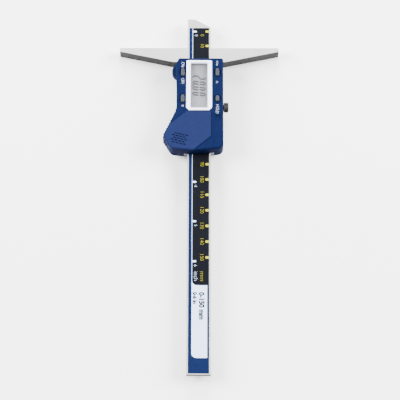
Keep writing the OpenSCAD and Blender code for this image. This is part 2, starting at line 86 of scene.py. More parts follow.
def colour(name, text, red, green, blue):
    """A colour property in linear light."""
    return FloatVectorProperty(name=name, description=text, default=(red, green, blue), size=3,
                               min=0, max=1, subtype="COLOR")


class GaugeSteelSizes(PropertyGroup):
    """Edges and knurl of the metal pieces."""
    ground_edge: length("Ground edge", "Width of the broken edge on the base bar and the beam", 0.22)
    screw_edge: length("Screw edge", "Width of the broken edge on screw heads", 0.07)
    plate_edge: length("Plate edge", "Width of the broken edge on small plates", 0.12)
    knurl_depth: length("Knurl depth", "Depth of the grooves round the lock screw's knob", 0.24)
    knurl_ribs: IntProperty(name="Knurl ribs", description="Ribs round the knob", default=26, min=8)
    shank_r: length("Shank radius", "Radius of the lock screw's shank", 1.45)
    knob_length: length("Knob length", "Length of the lock screw's knob", 3.2)


class GaugeScaleSizes(PropertyGroup):
    """What is printed on the beam, measured from its tip and its middle."""
    zero_from_tip: length("Zero mark", "Distance from the beam's tip to the zero mark", 8.6)
    range: length("Range", "Length of the printed range", 150)
    step: length("Millimetre step", "Distance between numbered millimetre ticks", 10)
    inch: length("Inch", "Distance between numbered inch ticks", 25.4)
    band: length("Blue band", "Width of the blue band along the left edge", 2.05)
    line: length("White line", "Width of the white line beside the band", 0.22)
    field: length("White field", "Length of the white field under the scale", 44.4)
    navy: length("Edge strip", "Width of the blue strip right of the white field", 1.15)
    scale_end: length("Scale end", "Distance from the last tick to the end of the dark field", 17.4)
    corner: length("Field corner", "Radius of the lower left corner of each field", 3)
    tick: length("Tick length", "Length of a millimetre tick", 2.3)
    tick_w: length("Tick width", "Width of a millimetre tick", 1.5)
    inch_tick: length("Inch tick length", "Length of an inch tick", 2.4)
    inch_tick_w: length("Inch tick width", "Width of an inch tick", 1.1)
    number: length("Number height", "Height of the numbers", 2.15)
    layer: length("Ink layer", "Thickness of one printed layer", 0.012)


class GaugeHousingSizes(PropertyGroup):
    """Outline, edges and grip of the moulded housing."""
    right: length("Right side", "Distance from the middle of the beam to the lock screw's side", 14.95)
    waist: length("Waist", "Distance from the middle of the beam to the waist", 14)
    top: length("Upper end", "Distance from the measuring face to the housing", 10.3)
    end: length("Lower end", "Distance from the measuring face to the lower end", 72.1)
    grip: length("Grip length", "Length of the grip above the lower end", 27.6)
    swell: length("Grip swell", "How far the grip swells out of the waist", 8.6)
    rim: length("Rim", "Height of the lower rim above the back", 4)
    front_round: length("Front edge", "Radius of the edge round the front face", 1.15)
    rib_pitch: length("Rib pitch", "Distance between the ribs on the grip's side", 1.75)
    rib_depth: length("Rib depth", "Depth of the ribs on the grip's side", 0.38)
    rest_r: length("Thumb rest", "Radius of the thumb rest beside the base bar", 5)
    rest_top: length("Thumb rest height", "Height of the thumb rest above the back", 9.5)
    flare: length("Opening flare", "Width of the chamfer round the openings", 0.32)
    lid_edge: length("Cover edge", "Width of the broken edge round the covers", 0.13)
    seam: length("Cover seam", "Width of the chamfer round the battery cover's opening", 0.32)
    label: length("Label height", "Height of the words beside the buttons", 1.75)


class GaugeDisplaySizes(PropertyGroup):
    """Bezel, window and digits."""
    cut: length("Bezel corner", "Cut across the two lower corners of the bezel", 1.9)
    upper_r: length("Bezel upper corners", "Radius of the bezel's upper corners", 0.9)
    bezel_round: length("Bezel edge", "Radius of the bezel's outer edge", 0.45)
    window_w: length("Window width", "Width of the window", 10.5)
    window_l: length("Window length", "Length of the window", 30)
    window_flare: length("Window flare", "How far the window opens towards the front", 0.35)
    digit_h: length("Digit height", "Height of a digit", 8.7)
    digit_w: length("Digit width", "Width of a digit", 2.75)
    pitch: length("Digit pitch", "Distance between digits", 3.72)
    stroke: length("Segment width", "Width of a segment", 1.12)
    slant: FloatProperty(name="Slant", description="Lean of the digits", default=0.1, min=0, max=0.4)
    start: length("First digit", "Distance from the bezel's upper edge to the first digit", 9)
    reading: StringProperty(name="Reading", description="Digits shown", default="20.00")


class GaugeColours(PropertyGroup):
    """Colours of the finishes, in linear light."""
    ground: colour("Ground steel", "Ground faces of the base bar and the beam", 0.46, 0.46, 0.465)
    # painted shade: a near-black steel for faces turned towards -Y, away from the lights; on the base bar's
    # wings only part of this darkness is their milled finish
    flank: colour("Flank", "Tapered lower faces of the wings", 0.0125, 0.0120, 0.0128)
    slider: colour("Slider", "Milled slider frame", 0.16, 0.16, 0.17)
    screw: colour("Screws", "Dark plated screws", 0.16, 0.16, 0.17)
    knob: colour("Lock screw", "Knurled steel", 0.04, 0.04, 0.042)
    bronze: colour("Gib", "Bronze gib strip", 0.45, 0.28, 0.11)
    housing: colour("Housing", "Moulded housing", 0.0034, 0.0062, 0.0270)
    cover: colour("Covers", "Battery cover and port cover", 0.0075, 0.0115, 0.041)
    bezel: colour("Bezel", "White moulded bezel", 0.74, 0.80, 0.98)
    button: colour("Buttons", "Grey buttons", 0.025, 0.0285, 0.042)
    glass: colour("Display", "Reflective display glass", 0.145, 0.146, 0.152)
    segment: colour("Segments", "Dark segments", 0.004, 0.004, 0.005)
    label: colour("Words", "White words on the housing", 0.62, 0.66, 0.74)
    film: colour("Film", "Blue of the printed film", 0.0042, 0.0085, 0.035)
    dark: colour("Dark field", "Charcoal field behind the ticks", 0.0036, 0.0041, 0.0060)
    white: colour("White print", "White field and white ticks", 0.52, 0.62, 0.84)
    yellow: colour("Yellow print", "Millimetre ticks and numbers", 0.28, 0.255, 0.016)


class GaugeStudio(PropertyGroup):
    """Camera, lights and floor."""
    aim_x: length("Aim across", "Point looked at, across the beam", 0.7)
    aim_y: length("Aim along", "Point looked at, along the beam", -101.98)
    aim_z: length("Aim height", "Height of the point looked at", 8)
    distance: length("Camera distance", "Distance from the camera to the point looked at", 950)
    tilt: angle("Camera tilt", "Tilt of the view from straight down", 20.16)
    roll: angle("Camera roll", "Turn of the camera about its own view", 0.13)
    lens: FloatProperty(name="Focal length", description="Focal length of the camera, in millimetres",
                        default=140.86, unit="CAMERA")
    side: FloatProperty(name="Side lights", description="Power of each side light", default=104,
                        unit="POWER")
    back: FloatProperty(name="Back light", description="Power of the light beyond the tip", default=76,
                        unit="POWER")
    sky: FloatProperty(name="Sky", description="Strength of the soft surround", default=0.38, min=0)
    floor: FloatProperty(name="Floor size", description="Width of the floor", default=6, unit="LENGTH")


# ---- outlines and surfaces -------------------------------------------------------

def unit(vectors):
    return vectors / np.linalg.norm(vectors, axis=-1, keepdims=True)


def rounded(corners, steps=8, fill=0):
    """Outline through corners [x, y, radius]: each corner is an arc that touches both its sides, centred
    radius / sin(half angle) along the bisector, with fill points spread evenly on each straight run."""
    corners = np.asarray(corners, float)
    p, r = corners[:, :2], corners[:, 2:]
    u, w = unit(np.roll(p, 1, 0) - p), unit(np.roll(p, -1, 0) - p)
    half = np.arccos(np.clip((u * w).sum(1, keepdims=True), -1, 1)) / 2
    centre = p + unit(u + w) * r / np.sin(half)
    start, stop = p + u * r / np.tan(half) - centre, p + w * r / np.tan(half) - centre
    first = np.arctan2(start[:, 1:], start[:, :1])
    sweep = (np.arctan2(stop[:, 1:], stop[:, :1]) - first + np.pi) % (2 * np.pi) - np.pi
    turn = first + sweep * np.linspace(0, 1, steps + 1)
    arcs = centre[:, None] + r[:, None] * np.stack([np.cos(turn), np.sin(turn)], -1)
    share = np.linspace(0, 1, fill + 2)[1:-1][None, :, None]
    runs = arcs[:, -1:] * (1 - share) + np.roll(arcs[:, :1], -1, 0) * share
    return np.concatenate([arcs, runs], 1).reshape(-1, 2)


def moved(corners, inwards):
    """Corners of a counterclockwise outline moved inwards by a distance: each corner slides along its
    bisector, convex radii shrink by the distance and hollow ones grow by it."""
    corners = np.asarray(corners, float)
    p = corners[:, :2]
    a, b = unit(p - np.roll(p, 1, 0)), unit(np.roll(p, -1, 0) - p)
    left_a, left_b = np.stack([-a[:, 1], a[:, 0]], 1), np.stack([-b[:, 1], b[:, 0]], 1)
    share = 1 + (left_a * left_b).sum(1, keepdims=True)
    hollow = (a[:, 0] * b[:, 1] - a[:, 1] * b[:, 0] < 0)[:, None]
    r = corners[:, 2:]
    radius = np.where(hollow, r + inwards, np.maximum(r - inwards, 0.03 * MM))
    return np.hstack([p + inwards * (left_a + left_b) / share, radius])


def outline(corners, steps=8, fill=0):
    """The outline as a function of how far it is moved inwards."""
    return lambda inwards: rounded(moved(corners, inwards), steps, fill)


def disc(centre, radius, count=64):
    """A circle as a function of how far it is moved inwards."""
    turn = np.linspace(0, 2 * np.pi, count, endpoint=False)
    ray = np.stack([np.cos(turn), np.sin(turn)], 1)
    return lambda inwards: np.asarray(centre) + (radius - inwards) * ray


def rectangle(left, low, right, high, radius=0.05 * MM):
    return [[right, high, radius], [left, high, radius], [left, low, radius], [right, low, radius]]


def long_hole(centre, width, total):
    """A plate with round ends, its long side along Y."""
    x, y, r = centre[0], centre[1], width / 2 * 0.999
    return outline(rectangle(x - width / 2, y - total / 2, x + width / 2, y + total / 2, r), 12)


def skin_faces(rows, count):
    """Quads between neighbouring rings of count points, and a cap on each end."""
    row, column = np.mgrid[0:rows - 1, 0:count]
    after = (column + 1) % count
    quads = np.stack([row * count + column, row * count + after,
                      (row + 1) * count + after, (row + 1) * count + column], -1).reshape(-1, 4)
    last = (rows - 1) * count
    return quads.tolist() + [list(range(count - 1, -1, -1)), list(range(last, last + count))]


def stack(shape, levels, ripple=None):
    """A closed surface in two parameters: along the outline, and up through levels of (height, inset).
    Each level is the outline moved inwards by its inset; ripple may move the points of a level."""
    rings = [shape(inset) for _, inset in levels]
    if ripple is not None:
        rings = [ripple(ring, height) for ring, (height, _) in zip(rings, levels)]
    count = len(rings[0])
    points = np.concatenate([np.column_stack([ring, np.full(count, height)])
                             for ring, (height, _) in zip(rings, levels)])
    return points, skin_faces(len(levels), count)


def edge_levels(low, high, radius, steps=5):
    """Levels of a plate whose upper edge is a quarter circle: height = high - r + r sin a and
    inset = r (1 - cos a)."""
    quarter = np.linspace(0, np.pi / 2, steps + 1)
    over = [(high - radius + radius * math.sin(a), radius * (1 - math.cos(a))) for a in quarter]
    return [(low, 0.0)] + over


def turned(profile, count, ripple):
    """A surface of revolution: [radius, along] carried round the axis, x = r cos a, y = r sin a,
    z = along. ripple(angles, along) gives how much the radius drops at each angle of a row."""
    profile = np.asarray(profile, float)
    turn = np.linspace(0, 2 * np.pi, count, endpoint=False)
    radius = profile[:, :1] - ripple(turn[None, :], profile[:, 1:])
    along = np.broadcast_to(profile[:, 1:], radius.shape)
    points = np.stack([radius * np.cos(turn), radius * np.sin(turn), along], -1).reshape(-1, 3)
    return points, skin_faces(len(profile), count)


def merge(shapes):
    """Several closed surfaces in one."""
    starts = np.cumsum([0] + [len(points) for points, _ in shapes[:-1]])
    faces = [[int(corner + start) for corner in face]
             for start, (_, part) in zip(starts, shapes) for face in part]
    return np.concatenate([points for points, _ in shapes]), faces


def make(name, *shapes):
    """An object in the scene from one or more surfaces."""
    points, faces = merge(shapes)
    mesh = bpy.data.meshes.new(name)
    mesh.from_pydata(points.tolist(), [], faces)
    mesh.update()
    piece = bpy.data.objects.new(name, mesh)
    bpy.context.scene.collection.objects.link(piece)
    return piece


# ---- mesh work ---------------------------------------------------------------------

FINISHES = {}


def apply_modifiers(piece):
    """Puts what the modifiers make into the mesh itself."""
    graph = bpy.context.evaluated_depsgraph_get()
    mesh = bpy.data.meshes.new_from_object(piece.evaluated_get(graph))
    old = piece.data
    piece.modifiers.clear()
    piece.data = mesh
    bpy.data.meshes.remove(old)


def combine(piece, tool, operation):
    """Boolean of two closed pieces; the tool is used up."""
    modifier = piece.modifiers.new(operation, "BOOLEAN")
    modifier.operation = operation
    modifier.solver = "EXACT"
    modifier.object = tool
    apply_modifiers(piece)
    mesh = tool.data
    bpy.data.objects.remove(tool)
    bpy.data.meshes.remove(mesh)
    if not piece.data.polygons:
        raise RuntimeError(f"{piece.name}: nothing is left after {operation}")


def copy_of(node, name):
    """A merged copy of a CAD node, with its flat faces made whole."""
    piece = bpy.data.objects.new(name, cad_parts[node].data.copy())
    piece.data.materials.clear()
    bpy.context.scene.collection.objects.link(piece)
    mesh = bmesh.new()
    mesh.from_mesh(piece.data)
    bmesh.ops.remove_doubles(mesh, verts=mesh.verts, dist=1e-6)
    bmesh.ops.dissolve_limit(mesh, angle_limit=math.radians(1), verts=mesh.verts, edges=mesh.edges)
    mesh.to_mesh(piece.data)
    mesh.free()
    return piece


def break_edges(piece, width):
    """Rounds every edge that turns by more than the smoothing angle."""
    modifier = piece.modifiers.new("edges", "BEVEL")
    modifier.width = width
    modifier.segments = 2
    modifier.limit_method = "ANGLE"
    modifier.angle_limit = SMOOTH_ANGLE
    apply_modifiers(piece)


def finish_piece(piece, body, slot, finish, *replaces):
    """Smooth shading up to an angle, the finish, the body it rides on and the nodes it stands for."""
    mesh = bmesh.new()
    mesh.from_mesh(piece.data)
    bmesh.ops.remove_doubles(mesh, verts=mesh.verts, dist=1e-7)
    for edge in mesh.edges:
        edge.smooth = edge.calc_face_angle(math.pi) < SMOOTH_ANGLE
    for face in mesh.faces:
        face.smooth = True
    mesh.to_mesh(piece.data)
    mesh.free()
    piece.data.materials.append(FINISHES[finish])
    normals = piece.modifiers.new("flat faces", "WEIGHTED_NORMAL")
    normals.keep_sharp = True
    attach(piece, body)
    if replaces:
        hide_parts(*replaces)
    return piece


def refinish(piece, finish, chosen):
    """Gives the faces whose normals are chosen a second finish."""
    normals = np.empty(len(piece.data.polygons) * 3)
    piece.data.polygons.foreach_get("normal", normals)
    piece.data.materials.append(FINISHES[finish])
    index = chosen(*normals.reshape(-1, 3).T).astype(np.int32) * (len(piece.data.materials) - 1)
    piece.data.polygons.foreach_set("material_index", index)


def machined(node, width, body, slot, finish):
    """A CAD node's own shape with its sharp edges broken."""
    piece = copy_of(node, node + "_finished")
    break_edges(piece, width)
    return finish_piece(piece, body, slot, finish, node)


def dress(finish, *nodes):
    """Gives CAD nodes that keep their shape a finish in their own material slots."""
    for node in nodes:
        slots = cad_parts[node].data.materials
        for index in range(len(slots)):
            slots[index] = FINISHES[finish]


def glyph_mesh(word, weight):
    """A word of the built-in typeface, one unit tall, as points and faces; weight grows the strokes."""
    curve = bpy.data.curves.new(word, "FONT")
    curve.body = word
    curve.resolution_u = 3
    curve.extrude = 0.5
    curve.offset = weight
    holder = bpy.data.objects.new(word, curve)
    bpy.context.scene.collection.objects.link(holder)
    mesh = bpy.data.meshes.new_from_object(holder.evaluated_get(bpy.context.evaluated_depsgraph_get()))
    points = np.empty(len(mesh.vertices) * 3)
    mesh.vertices.foreach_get("co", points)
    faces = [list(face.vertices) for face in mesh.polygons]
    bpy.data.objects.remove(holder)
    bpy.data.curves.remove(curve)
    bpy.data.meshes.remove(mesh)
    return points.reshape(-1, 3), faces


def word(text, x, y, height, low, thick, wide=1.0, align=0.5, weight=PLAIN_WEIGHT):
    """A word whose letters stand towards +X and read towards -Y. x is the foot of the letters, and y the
    place along the word where align (0 start, 0.5 middle, 1 end) falls."""
    points, faces = glyph_mesh(text, weight)
    cap = glyph_mesh("H", weight)[0][:, 1]
    scale = height / (cap.max() - cap.min())
    across = (points[:, 0] - points[:, 0].min()) * scale * wide
    across = across - align * across.max()
    rise = (points[:, 1] - cap.min()) * scale
    level = low + (points[:, 2] > 0) * thick
    return np.column_stack([x + rise, y - across, level]), faces


# ---- materials -----------------------------------------------------------------------

def group_nodes(name, inputs, outputs):
    """A new shader node group with float, vector or colour sockets."""
    group = bpy.data.node_groups.new(name, "ShaderNodeTree")
    for label, kind, value in inputs:
        socket = group.interface.new_socket(label, in_out="INPUT", socket_type=kind)
        socket.default_value = value
    for label, kind in outputs:
        group.interface.new_socket(label, in_out="OUTPUT", socket_type=kind)
    return group, group.nodes.new("NodeGroupInput"), group.nodes.new("NodeGroupOutput")


def noise(tree, vector, scale, detail=2.0):
    node = tree.nodes.new("ShaderNodeTexNoise")
    node.inputs["Scale"].default_value = scale
    node.inputs["Detail"].default_value = detail
    tree.links.new(vector, node.inputs["Vector"])
    return node.outputs["Fac"]


def spread(tree, value, low, high, out_low=0.0, out_high=1.0):
    """Maps low..high of a value to out_low..out_high."""
    node = tree.nodes.new("ShaderNodeMapRange")
    tree.links.new(value, node.inputs["Value"])
    for label, number in (("From Min", low), ("From Max", high), ("To Min", out_low), ("To Max", out_high)):
        node.inputs[label].default_value = number
    return node.outputs["Result"]


def stretched(tree, vector, stretch):
    """Object coordinates multiplied by the stretch."""
    node = tree.nodes.new("ShaderNodeVectorMath")
    node.operation = "MULTIPLY"
    tree.links.new(vector, node.inputs[0])
    tree.links.new(stretch, node.inputs[1])
    return node.outputs["Vector"]


def grain_group():
    """Fine texture of a surface: noise on stretched coordinates, as a height and as a tint."""
    group, given, result = group_nodes(
        "Surface grain",
        [("Place", "NodeSocketVector", (0, 0, 0)), ("Stretch", "NodeSocketVector", (1, 1, 1))],
        [("Height", "NodeSocketFloat"), ("Tint", "NodeSocketFloat")])
    place = stretched(group, given.outputs["Place"], given.outputs["Stretch"])
    fine = noise(group, place, 1.0, 3.0)
    coarse = noise(group, place, 0.23, 2.0)
    total = group.nodes.new("ShaderNodeMath")
    total.operation = "ADD"
    group.links.new(fine, total.inputs[0])
    group.links.new(coarse, total.inputs[1])
    group.links.new(spread(group, total.outputs[0], 0.7, 1.3), result.inputs["Height"])
    group.links.new(spread(group, coarse, 0.35, 0.65), result.inputs["Tint"])
    return group


def handling_group():
    """Marks of use: broad soft smudges, and short fine scratches, as one mask."""
    group, given, result = group_nodes(
        "Handling marks", [("Place", "NodeSocketVector", (0, 0, 0))],
        [("Smudge", "NodeSocketFloat"), ("Scratch", "NodeSocketFloat")])
    smudge = noise(group, given.outputs["Place"], 85.0, 3.0)
    group.links.new(spread(group, smudge, 0.42, 0.66), result.inputs["Smudge"])
    slanted = group.nodes.new("ShaderNodeMapping")
    slanted.inputs["Rotation"].default_value = (0, 0, 0.6)
    slanted.inputs["Scale"].default_value = (2600, 120, 600)
    group.links.new(given.outputs["Place"], slanted.inputs["Vector"])
    scratch = noise(group, slanted.outputs["Vector"], 1.0, 1.0)
    group.links.new(spread(group, scratch, 0.68, 0.76), result.inputs["Scratch"])
    return group


def surface(name, tone, roughness, metallic=0.0, grain_rate=9000, depth=0.004, variation=0.12,
            wear=0.08, specular=0.12):
    """A finish: colour varied by the grain's tint, roughness varied by handling, and a bump of the
    grain. grain_rate is the grain's fineness per metre, one number or one for each axis; depth is its
    height in millimetres."""
    material = bpy.data.materials.new(name)
    material.use_nodes = True
    tree = material.node_tree
    shader = tree.nodes["Principled BSDF"]
    shader.inputs["Metallic"].default_value = metallic
    shader.inputs["Specular IOR Level"].default_value = specular
    place = tree.nodes.new("ShaderNodeTexCoord").outputs["Object"]
    grain = tree.nodes.new("ShaderNodeGroup")
    grain.node_tree = bpy.data.node_groups["Surface grain"]
    grain.inputs["Stretch"].default_value = (np.ones(3) * grain_rate).tolist()
    marks = tree.nodes.new("ShaderNodeGroup")
    marks.node_tree = bpy.data.node_groups["Handling marks"]
    tree.links.new(place, grain.inputs["Place"])
    tree.links.new(place, marks.inputs["Place"])
    blend = tree.nodes.new("ShaderNodeMix")
    blend.data_type = "RGBA"
    blend.inputs["A"].default_value = (*[c * (1 - variation) for c in tone], 1)
    blend.inputs["B"].default_value = (*[min(c * (1 + variation), 1) for c in tone], 1)
    tree.links.new(grain.outputs["Tint"], blend.inputs["Factor"])
    tree.links.new(blend.outputs["Result"], shader.inputs["Base Color"])
    worn = tree.nodes.new("ShaderNodeMath")
    worn.operation = "MAXIMUM"
    tree.links.new(marks.outputs["Smudge"], worn.inputs[0])
    tree.links.new(marks.outputs["Scratch"], worn.inputs[1])
    tree.links.new(spread(tree, worn.outputs[0], 0, 1, roughness, max(roughness - wear, 0.05)),
                   shader.inputs["Roughness"])
    bump = tree.nodes.new("ShaderNodeBump")
    bump.inputs["Strength"].default_value = 0.6
    bump.inputs["Distance"].default_value = depth * MM
    tree.links.new(grain.outputs["Height"], bump.inputs["Height"])
    tree.links.new(bump.outputs["Normal"], shader.inputs["Normal"])
    return material


def clear_window(name):
    """Clear acrylic: almost nothing but its gloss, with faint smudges in the gloss."""
    material = surface(name, (0.4, 0.42, 0.44), 0.06, depth=0.0, variation=0.02, wear=0.02)
    material.node_tree.nodes["Principled BSDF"].inputs["Alpha"].default_value = 0.06
    return material


def build_materials(tones):
    """Every finish of the gauge, by name. The numbers are roughness, metallic, grain per metre, depth
    of the grain in millimetres, variation of the colour and wear of the roughness."""
    across, along = (900, 14000, 9000), (14000, 500, 9000)
    grain_group()
    handling_group()
    return {
        "ground": surface("ground_steel", tones.ground, 0.42, 0.35, across, 0.003, 0.05, 0.1),
        # painted shade: the near-black steel given to faces turned towards -Y, away from the lights
        "flank": surface("painted_shade_steel", tones.flank, 0.5, 0.3, (5000, 5000, 900), 0.004, 0.15),
        "beam": surface("beam_steel", tones.ground, 0.36, 0.35, along, 0.002, 0.05, 0.1),
        "slider": surface("slider_steel", tones.slider, 0.42, 0.9, along, 0.004, 0.1),
        "screw": surface("screw_steel", tones.screw, 0.35, 0.9, 4000, 0.002),
        "knob": surface("knob_steel", tones.knob, 0.36, 0.85, (600, 9000, 9000), 0.004),
        "bronze": surface("bronze", tones.bronze, 0.4, 0.9, along, 0.003),
        "housing": surface("housing_blue", tones.housing, 0.5, 0.0, 5200, 0.012, 0.08, specular=0.008),
        "cover": surface("cover_blue", tones.cover, 0.5, 0.0, 5200, 0.012, 0.06, specular=0.008),
        "bezel": surface("bezel_white", tones.bezel, 0.3, 0.0, 3000, 0.004, 0.02),
        "button": surface("button_grey", tones.button, 0.4, 0.0, 6000, 0.006, 0.08),
        "glass": surface("display_glass", tones.glass, 0.3, 0.0, 2000, 0.0, 0.02),
        "segment": surface("display_segments", tones.segment, 0.4, 0.0, 2000, 0.0, 0.05),
        "label": surface("label_white", tones.label, 0.5, 0.0, 9000, 0.002, 0.04),
        "film": surface("film_blue", tones.film, 0.62, 0.0, 3000, 0.002, 0.06, specular=0.02),
        "dark": surface("print_charcoal", tones.dark, 0.62, 0.0, 3000, 0.002, 0.08, specular=0.02),
        "white": surface("print_white", tones.white, 0.45, 0.0, 3000, 0.002, 0.02),
        "yellow": surface("print_yellow", tones.yellow, 0.45, 0.0, 3000, 0.002, 0.04, specular=0.04),
        "window": clear_window("clear_window"),
        "tray": surface("tray_plastic", (0.78, 0.78, 0.75), 0.5, depth=0.006),
        "rubber": surface("strip_rubber", (0.5, 0.36, 0.36), 0.6, 0.0, (900, 20000, 900), 0.01),
        "board": surface("circuit_green", (0.02, 0.17, 0.07), 0.38, 0.0, 2500, 0.006, 0.2),
        "epoxy": surface("chip_epoxy", (0.012, 0.012, 0.013), 0.25, depth=0.003),
        "nickel": surface("nickel", (0.66, 0.64, 0.6), 0.22, 1.0, 3000, 0.001, 0.04),
        "switch": surface("switch_plastic", (0.02, 0.02, 0.022), 0.5, depth=0.005),
        "gold": surface("gold_plate", (0.83, 0.6, 0.22), 0.25, 1.0, 3000, 0.001, 0.04),
        "floor": surface("studio_floor", (0.9, 0.9, 0.905), 0.8, 0.0, 40, 0.0, 0.005, 0.02),
    }


# ---- pieces -----------------------------------------------------------------------------

class GAUGE_OT_finishes(Operator):
    """Makes the node groups and the materials"""
    bl_idname = "gauge.finishes"
    bl_label = "Finishes"

    def execute(self, context):
        FINISHES.update(build_materials(context.scene.gauge_colours))
        return {"FINISHED"}


class GAUGE_OT_base(Operator):
    """Base bar and the screws that hold it"""
    bl_idname = "gauge.base"
    bl_label = "Base bar"

    def execute(self, context):
        sizes = context.scene.gauge_steel
        bar = copy_of("base_crossbar", "base_bar")
        break_edges(bar, sizes.ground_edge)
        finish_piece(bar, SLIDER, "ground_steel", "ground", "base_crossbar")
        # painted shade: the wings' faces turned towards -Y, away from the lights, get the near-black steel;
        # their milled finish is only part of this darkness
        refinish(bar, "flank", lambda x, y, z: (y < -0.3) & (np.abs(z) < 0.6))
        machined("base_screws", sizes.screw_edge, SLIDER, "screw_steel", "screw")
        return {"FINISHED"}


class GAUGE_OT_slider(Operator):
    """Slider frame, gib strip and its screws"""
    bl_idname = "gauge.slider"
    bl_label = "Slider"

    def execute(self, context):
        sizes = context.scene.gauge_steel
        machined("slider_frame", sizes.plate_edge, SLIDER, "slider_steel", "slider")
        machined("gib_strip", sizes.screw_edge, SLIDER, "bronze", "bronze")
        machined("gib_screws", sizes.screw_edge, SLIDER, "screw_steel", "screw")
        return {"FINISHED"}


class GAUGE_OT_beam(Operator):
    """Depth beam, its circuit strip and its stop"""
    bl_idname = "gauge.beam"
    bl_label = "Beam"

    def execute(self, context):
        sizes = context.scene.gauge_steel
        beam = machined("beam", sizes.plate_edge, BEAM, "beam_steel", "beam")
        # painted shadow: the beam's lower end face, turned towards -Y away from the lights, gets the
        # near-black steel
        refinish(beam, "flank", lambda x, y, z: y < -0.9)
        machined("stop_plate", sizes.plate_edge, BEAM, "slider_steel", "slider")
        machined("stop_screws", sizes.screw_edge, BEAM, "screw_steel", "screw")
        dress("board", "scale_strip")
        return {"FINISHED"}


class GAUGE_OT_scale(Operator):
    """Printed scale: film, bands, fields, ticks and numbers"""
    bl_idname = "gauge.scale"
    bl_label = "Printed scale"

    def execute(self, context):
        s = context.scene.gauge_scale
        low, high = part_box("scale_label")
        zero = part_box("beam")[1].y - s.zero_from_tip
        fields_end = zero - s.range - s.scale_end
        white_end = fields_end - s.field
        line_x = low.x + s.band
        dark_x = line_x + s.line
        heights = high.z - s.layer * np.arange(5, 0, -1)

        edge, upper = high.x - SKIN_GAP, high.y - SKIN_GAP

        def field(bottom, left, right, layer):
            """One printed area on a layer, with its lower left corner rounded."""
            corners = rectangle(left, bottom, right, upper, 0.02 * MM)
            corners[2][2] = s.corner
            return stack(outline(corners), [(heights[layer - 1] - s.layer, 0), (heights[layer], 0)])

        plan = outline(rectangle(low.x + SKIN_GAP, low.y + SKIN_GAP, edge, upper, 0.2 * MM))
        film = make("scale_film", stack(plan, [(low.z + SLIVER, 0), (heights[0], 0)]))
        finish_piece(film, BEAM, "scale_print", "film", "scale_label")
        white = [field(white_end, line_x, edge - s.navy, 1)]
        dark = [field(fields_end, dark_x, edge, 2)]

        steps = int(round(s.range / s.step))
        inches = int(s.range / s.inch) + 1
        number_x = edge - s.tick - s.number - 0.9 * MM
        inch_x, inch_y = dark_x + 1.2 * MM, -2.7 * MM
        zero_y = -2.6 * MM      # the first number stands clear of the tip

        def tick(left, right, y, width, nose):
            """A tick with a rounded nose on its inner end."""
            corners = rectangle(left, y - width / 2, right, y + width / 2, 0.03 * MM)
            for index in nose:
                corners[index][2] = 0.47 * width
            return stack(outline(corners), [(heights[2], 0), (heights[3], 0)])

        print_z = (heights[2], s.layer)
        yellow, light = [], []
        for i in range(steps + 1):
            y = zero - i * s.step
            yellow.append(tick(edge - s.tick, edge, y, s.tick_w, (1, 2)))
            shift = 0 if i else zero_y
            yellow.append(word(str(10 * i), number_x, y + shift, s.number, *print_z, wide=0.9))
        for i in range(inches + 1):
            y = zero - i * s.inch
            light.append(tick(dark_x, dark_x + s.inch_tick, y, s.inch_tick_w, (0, 3)))
            light.append(word(str(i), inch_x, y + inch_y, 0.8 * s.number, *print_z))
        units_y = fields_end + 5.6 * MM
        yellow.append(word("mm", number_x, units_y, 2.6 * MM, *print_z))
        light.append(word("inch", inch_x, units_y, 2.3 * MM, *print_z))
        middle = (line_x + edge - s.navy) / 2
        ink = [word(text, middle - drop * MM, fields_end - 4.2 * MM, height * MM, heights[1], s.layer,
                    0.95, 0.0, BOLD_WEIGHT)
               for text, drop, height in (("0-150 mm", 0.3, 3.4), ("0-6 in", 4, 2.6))]
        for name, shapes, finish in (("scale_white", white, "white"), ("scale_dark", dark, "dark"),
                                     ("scale_yellow", yellow, "yellow"), ("scale_light", light, "white"),
                                     ("scale_ink", ink, "dark")):
            finish_piece(make(name, *shapes), BEAM, "scale_print", finish)
        return {"FINISHED"}


def shell_corners(s):
    """Corners of the housing, counterclockwise from the lock screw's side: [x, y, radius]."""
    return [
        [s.right, -s.top, 1.2 * MM],
        [-(s.waist - 1.4 * MM), -s.top, 0.8 * MM],
        [-(s.waist + 0.7 * MM), -(s.top + 4.3 * MM), 1.5 * MM],
        [-s.waist, -(s.top + 20.7 * MM), 12 * MM],
        [-s.waist, -(s.end - s.grip), 18 * MM],
        [-(s.waist + s.swell), -(s.end - 9.5 * MM), 2.6 * MM],
        [-(s.waist + 2.9 * MM), -(s.end - 0.9 * MM), 4 * MM],
        [-2 * MM, -(s.end + 0.4 * MM), 40 * MM],
        [s.right, -(s.end - 1.6 * MM), 3.5 * MM],
    ]


def grip_ribs(s):
    """Moves the points of the grip's side inwards by depth (1 - cos(2 pi y / pitch)) / 2, fading out
    towards both ends of the grip and where the outline comes inside the waist line."""
    def ripple(ring, height):
        grip_from, grip_to = -(s.end - s.grip - 4 * MM), -(s.end - 4 * MM)
        y = ring[:, 1]
        side = np.clip((grip_from - y) / (2 * MM), 0, 1) * np.clip((y - grip_to) / (2 * MM), 0, 1)
        side = side * np.clip((-s.waist - ring[:, 0]) / (0.4 * MM) + 1, 0, 1) * (ring[:, 0] < 0)
        wave = (1 - np.cos(2 * np.pi * y / s.rib_pitch)) / 2
        tangent = unit(np.roll(ring, -1, 0) - np.roll(ring, 1, 0))
        inwards = np.stack([-tangent[:, 1], tangent[:, 0]], 1)
        return ring + inwards * (s.rib_depth * side * wave)[:, None]
    return ripple


def front_face():
    """Height of the front face, just inside the face of the covers."""
    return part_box("port_cover")[1].z - SKIN_GAP


def housing_skin(s):
    """The outer form of the housing, without its thumb rest: the outline with a round front edge, and
    ribs on the grip."""
    levels = edge_levels(s.rim - MM, front_face(), s.front_round)
    return make("skin", stack(outline(shell_corners(s), 8, 40), levels, grip_ribs(s)))


def opening_flare(shape, front, width):
    """A cutter that opens outwards towards the front face."""
    return stack(shape, [(front - width, -SLIVER), (front + width, -2 * width)])


